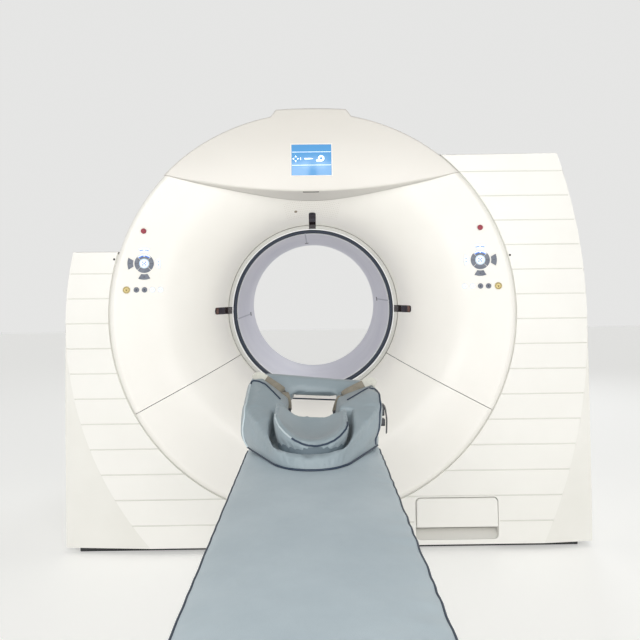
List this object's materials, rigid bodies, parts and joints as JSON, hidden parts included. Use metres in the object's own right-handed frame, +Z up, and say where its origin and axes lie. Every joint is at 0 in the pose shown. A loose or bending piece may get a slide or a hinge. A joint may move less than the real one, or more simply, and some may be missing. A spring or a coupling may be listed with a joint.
{
  "type": "ct scanner",
  "caption": "Medical scanner gantry with a dished round-bore front, control panels and display, and a patient table with padded head and arm support on a lifting carriage.",
  "frame": {"origin": "on the floor, straight below the middle of the X-ray scan plane", "axes": "+X to the right seen from the table's foot, +Y along the bore from the table towards the back of the gantry, +Z up"},
  "size_m": [2.395, 4.322, 2.034],
  "materials": {
    "plinth_steel": "black powder coat",
    "frame_steel": "machined steel",
    "motor_casing": "enamel",
    "belt_rubber": "matt",
    "tunnel_white": "satin",
    "bezel_grey": "satin",
    "seal_rubber": "soft dark seal",
    "cover_white": "warm white enamel on a moulded cover",
    "fairing_white": "warm white enamel, satin",
    "display_glass": "lit panel",
    "laser_glass": "dark red pane",
    "rail_steel": "grey enamel",
    "table_white": "satin",
    "pallet_shell": "satin",
    "pad_vinyl": "blue-grey coated vinyl",
    "strap_web": "woven strap",
    "stop_red": "dark red",
    "key_lit": "lit from behind",
    "key_grey": "satin",
    "key_gold": "satin"
  },
  "bodies": {
    "gantry": {"base_frame": "plinth_steel", "stator_frame": "frame_steel", "drive_motor": "motor_casing", "drive_belt": "belt_rubber", "slow_detector_ring": "frame_steel", "tunnel_liner": "tunnel_white", "bore_bezel": "bezel_grey", "bore_seal": "seal_rubber", "front_cover_upper": "cover_white", "front_cover_lower": "cover_white", "display_hood": "cover_white", "display_screen": "display_glass", "laser_windows": "laser_glass", "barrel_shell": "cover_white", "top_cap": "cover_white", "rear_cover": "cover_white", "left_fairing": "fairing_white", "right_fairing": "fairing_white", "middle_skirts": "fairing_white", "left_control_plate": "cover_white", "right_control_plate": "cover_white", "floor_frame": "rail_steel"},
    "rotor": {"rotor_drum": "frame_steel", "tube_housing": "motor_casing", "detector_arc": "frame_steel", "generator": "motor_casing"},
    "pulley": {"motor_pulley": "frame_steel"},
    "drawer": {"module_drawer": "fairing_white"},
    "table_carriage": {"carriage": "rail_steel", "lower_skirt": "table_white"},
    "table_stage": {"lift_stage": "table_white"},
    "table_top": {"upper_skirt": "table_white", "lift_head": "table_white", "pallet": "pallet_shell", "mattress": "pad_vinyl", "arm_support": "pad_vinyl", "head_cradle": "pad_vinyl", "straps": "strap_web"},
    "left_stop_button": {"left_stop_button": "stop_red"},
    "left_centre_key": {"left_centre_key": "key_lit"},
    "left_up_key": {"left_up_key": "key_lit"},
    "left_down_key": {"left_down_key": "key_grey"},
    "left_out_key": {"left_out_key": "key_grey"},
    "left_in_key": {"left_in_key": "key_lit"},
    "left_gold_key": {"left_gold_key": "key_gold"},
    "left_row_key_1": {"left_row_key_1": "key_grey"},
    "left_row_key_2": {"left_row_key_2": "key_grey"},
    "left_row_key_3": {"left_row_key_3": "key_lit"},
    "left_row_key_4": {"left_row_key_4": "key_lit"},
    "right_stop_button": {"right_stop_button": "stop_red"},
    "right_centre_key": {"right_centre_key": "key_lit"},
    "right_up_key": {"right_up_key": "key_lit"},
    "right_down_key": {"right_down_key": "key_grey"},
    "right_out_key": {"right_out_key": "key_grey"},
    "right_in_key": {"right_in_key": "key_lit"},
    "right_gold_key": {"right_gold_key": "key_gold"},
    "right_row_key_1": {"right_row_key_1": "key_grey"},
    "right_row_key_2": {"right_row_key_2": "key_grey"},
    "right_row_key_3": {"right_row_key_3": "key_lit"},
    "right_row_key_4": {"right_row_key_4": "key_lit"}
  },
  "joints": [
    {"name": "rotor_spin", "type": "hinge", "parent": "gantry", "child": "rotor", "pos_m": [0, 0, 1.08], "axis": [0, 1, 0], "continuous": true},
    {"name": "pulley_spin", "type": "hinge", "parent": "gantry", "child": "pulley", "pos_m": [0.50079, 0, 0.39072], "axis": [0, 1, 0], "continuous": true},
    {"name": "drawer_slide", "type": "slide", "parent": "gantry", "child": "drawer", "axis": [0, -1, 0], "range_m": [0, 0.25]},
    {"name": "table_travel", "type": "slide", "parent": "gantry", "child": "table_carriage", "axis": [0, 1, 0], "range_m": [0, 0.8]},
    {"name": "table_lift", "type": "slide", "parent": "table_carriage", "child": "table_top", "axis": [0, 0, 1], "range_m": [-0.15, 0.2]},
    {"name": "stage_lift", "type": "slide", "parent": "table_carriage", "child": "table_stage", "axis": [0, 0, 1], "range_m": [-0.076, 0.101]},
    {"name": "left_stop_button_press", "type": "slide", "parent": "gantry", "child": "left_stop_button", "axis": [-0.1945, 0.9763, 0.0949], "range_m": [0, 0.0012], "stiffness_N_per_m": 600},
    {"name": "left_centre_key_press", "type": "slide", "parent": "gantry", "child": "left_centre_key", "axis": [-0.2076, 0.9763, 0.0613], "range_m": [0, 0.0012], "stiffness_N_per_m": 600},
    {"name": "left_up_key_press", "type": "slide", "parent": "gantry", "child": "left_up_key", "axis": [-0.2076, 0.9763, 0.0613], "range_m": [0, 0.0012], "stiffness_N_per_m": 600},
    {"name": "left_down_key_press", "type": "slide", "parent": "gantry", "child": "left_down_key", "axis": [-0.2076, 0.9763, 0.0613], "range_m": [0, 0.0012], "stiffness_N_per_m": 600},
    {"name": "left_out_key_press", "type": "slide", "parent": "gantry", "child": "left_out_key", "axis": [-0.2076, 0.9763, 0.0613], "range_m": [0, 0.0012], "stiffness_N_per_m": 600},
    {"name": "left_in_key_press", "type": "slide", "parent": "gantry", "child": "left_in_key", "axis": [-0.2076, 0.9763, 0.0613], "range_m": [0, 0.0012], "stiffness_N_per_m": 600},
    {"name": "left_gold_key_press", "type": "slide", "parent": "gantry", "child": "left_gold_key", "axis": [-0.2147, 0.9763, 0.0272], "range_m": [0, 0.0012], "stiffness_N_per_m": 600},
    {"name": "left_row_key_1_press", "type": "slide", "parent": "gantry", "child": "left_row_key_1", "axis": [-0.2145, 0.9763, 0.0286], "range_m": [0, 0.0012], "stiffness_N_per_m": 600},
    {"name": "left_row_key_2_press", "type": "slide", "parent": "gantry", "child": "left_row_key_2", "axis": [-0.2144, 0.9763, 0.0299], "range_m": [0, 0.0012], "stiffness_N_per_m": 600},
    {"name": "left_row_key_3_press", "type": "slide", "parent": "gantry", "child": "left_row_key_3", "axis": [-0.2213, 0.9747, 0.0323], "range_m": [0, 0.0012], "stiffness_N_per_m": 600},
    {"name": "left_row_key_4_press", "type": "slide", "parent": "gantry", "child": "left_row_key_4", "axis": [-0.2989, 0.9532, 0.0458], "range_m": [0, 0.0012], "stiffness_N_per_m": 600},
    {"name": "right_stop_button_press", "type": "slide", "parent": "gantry", "child": "right_stop_button", "axis": [0.1945, 0.9763, 0.0949], "range_m": [0, 0.0012], "stiffness_N_per_m": 600},
    {"name": "right_centre_key_press", "type": "slide", "parent": "gantry", "child": "right_centre_key", "axis": [0.2076, 0.9763, 0.0613], "range_m": [0, 0.0012], "stiffness_N_per_m": 600},
    {"name": "right_up_key_press", "type": "slide", "parent": "gantry", "child": "right_up_key", "axis": [0.2076, 0.9763, 0.0613], "range_m": [0, 0.0012], "stiffness_N_per_m": 600},
    {"name": "right_down_key_press", "type": "slide", "parent": "gantry", "child": "right_down_key", "axis": [0.2076, 0.9763, 0.0613], "range_m": [0, 0.0012], "stiffness_N_per_m": 600},
    {"name": "right_out_key_press", "type": "slide", "parent": "gantry", "child": "right_out_key", "axis": [0.2076, 0.9763, 0.0613], "range_m": [0, 0.0012], "stiffness_N_per_m": 600},
    {"name": "right_in_key_press", "type": "slide", "parent": "gantry", "child": "right_in_key", "axis": [0.2076, 0.9763, 0.0613], "range_m": [0, 0.0012], "stiffness_N_per_m": 600},
    {"name": "right_gold_key_press", "type": "slide", "parent": "gantry", "child": "right_gold_key", "axis": [0.2147, 0.9763, 0.0272], "range_m": [0, 0.0012], "stiffness_N_per_m": 600},
    {"name": "right_row_key_1_press", "type": "slide", "parent": "gantry", "child": "right_row_key_1", "axis": [0.2145, 0.9763, 0.0286], "range_m": [0, 0.0012], "stiffness_N_per_m": 600},
    {"name": "right_row_key_2_press", "type": "slide", "parent": "gantry", "child": "right_row_key_2", "axis": [0.2144, 0.9763, 0.0299], "range_m": [0, 0.0012], "stiffness_N_per_m": 600},
    {"name": "right_row_key_3_press", "type": "slide", "parent": "gantry", "child": "right_row_key_3", "axis": [0.2213, 0.9747, 0.0323], "range_m": [0, 0.0012], "stiffness_N_per_m": 600},
    {"name": "right_row_key_4_press", "type": "slide", "parent": "gantry", "child": "right_row_key_4", "axis": [0.2989, 0.9532, 0.0458], "range_m": [0, 0.0012], "stiffness_N_per_m": 600}
  ],
  "couplings": [
    {"joint": "pulley_spin", "follows": "rotor_spin", "ratio": 14},
    {"joint": "stage_lift", "follows": "table_lift", "ratio": 0.5}
  ]
}
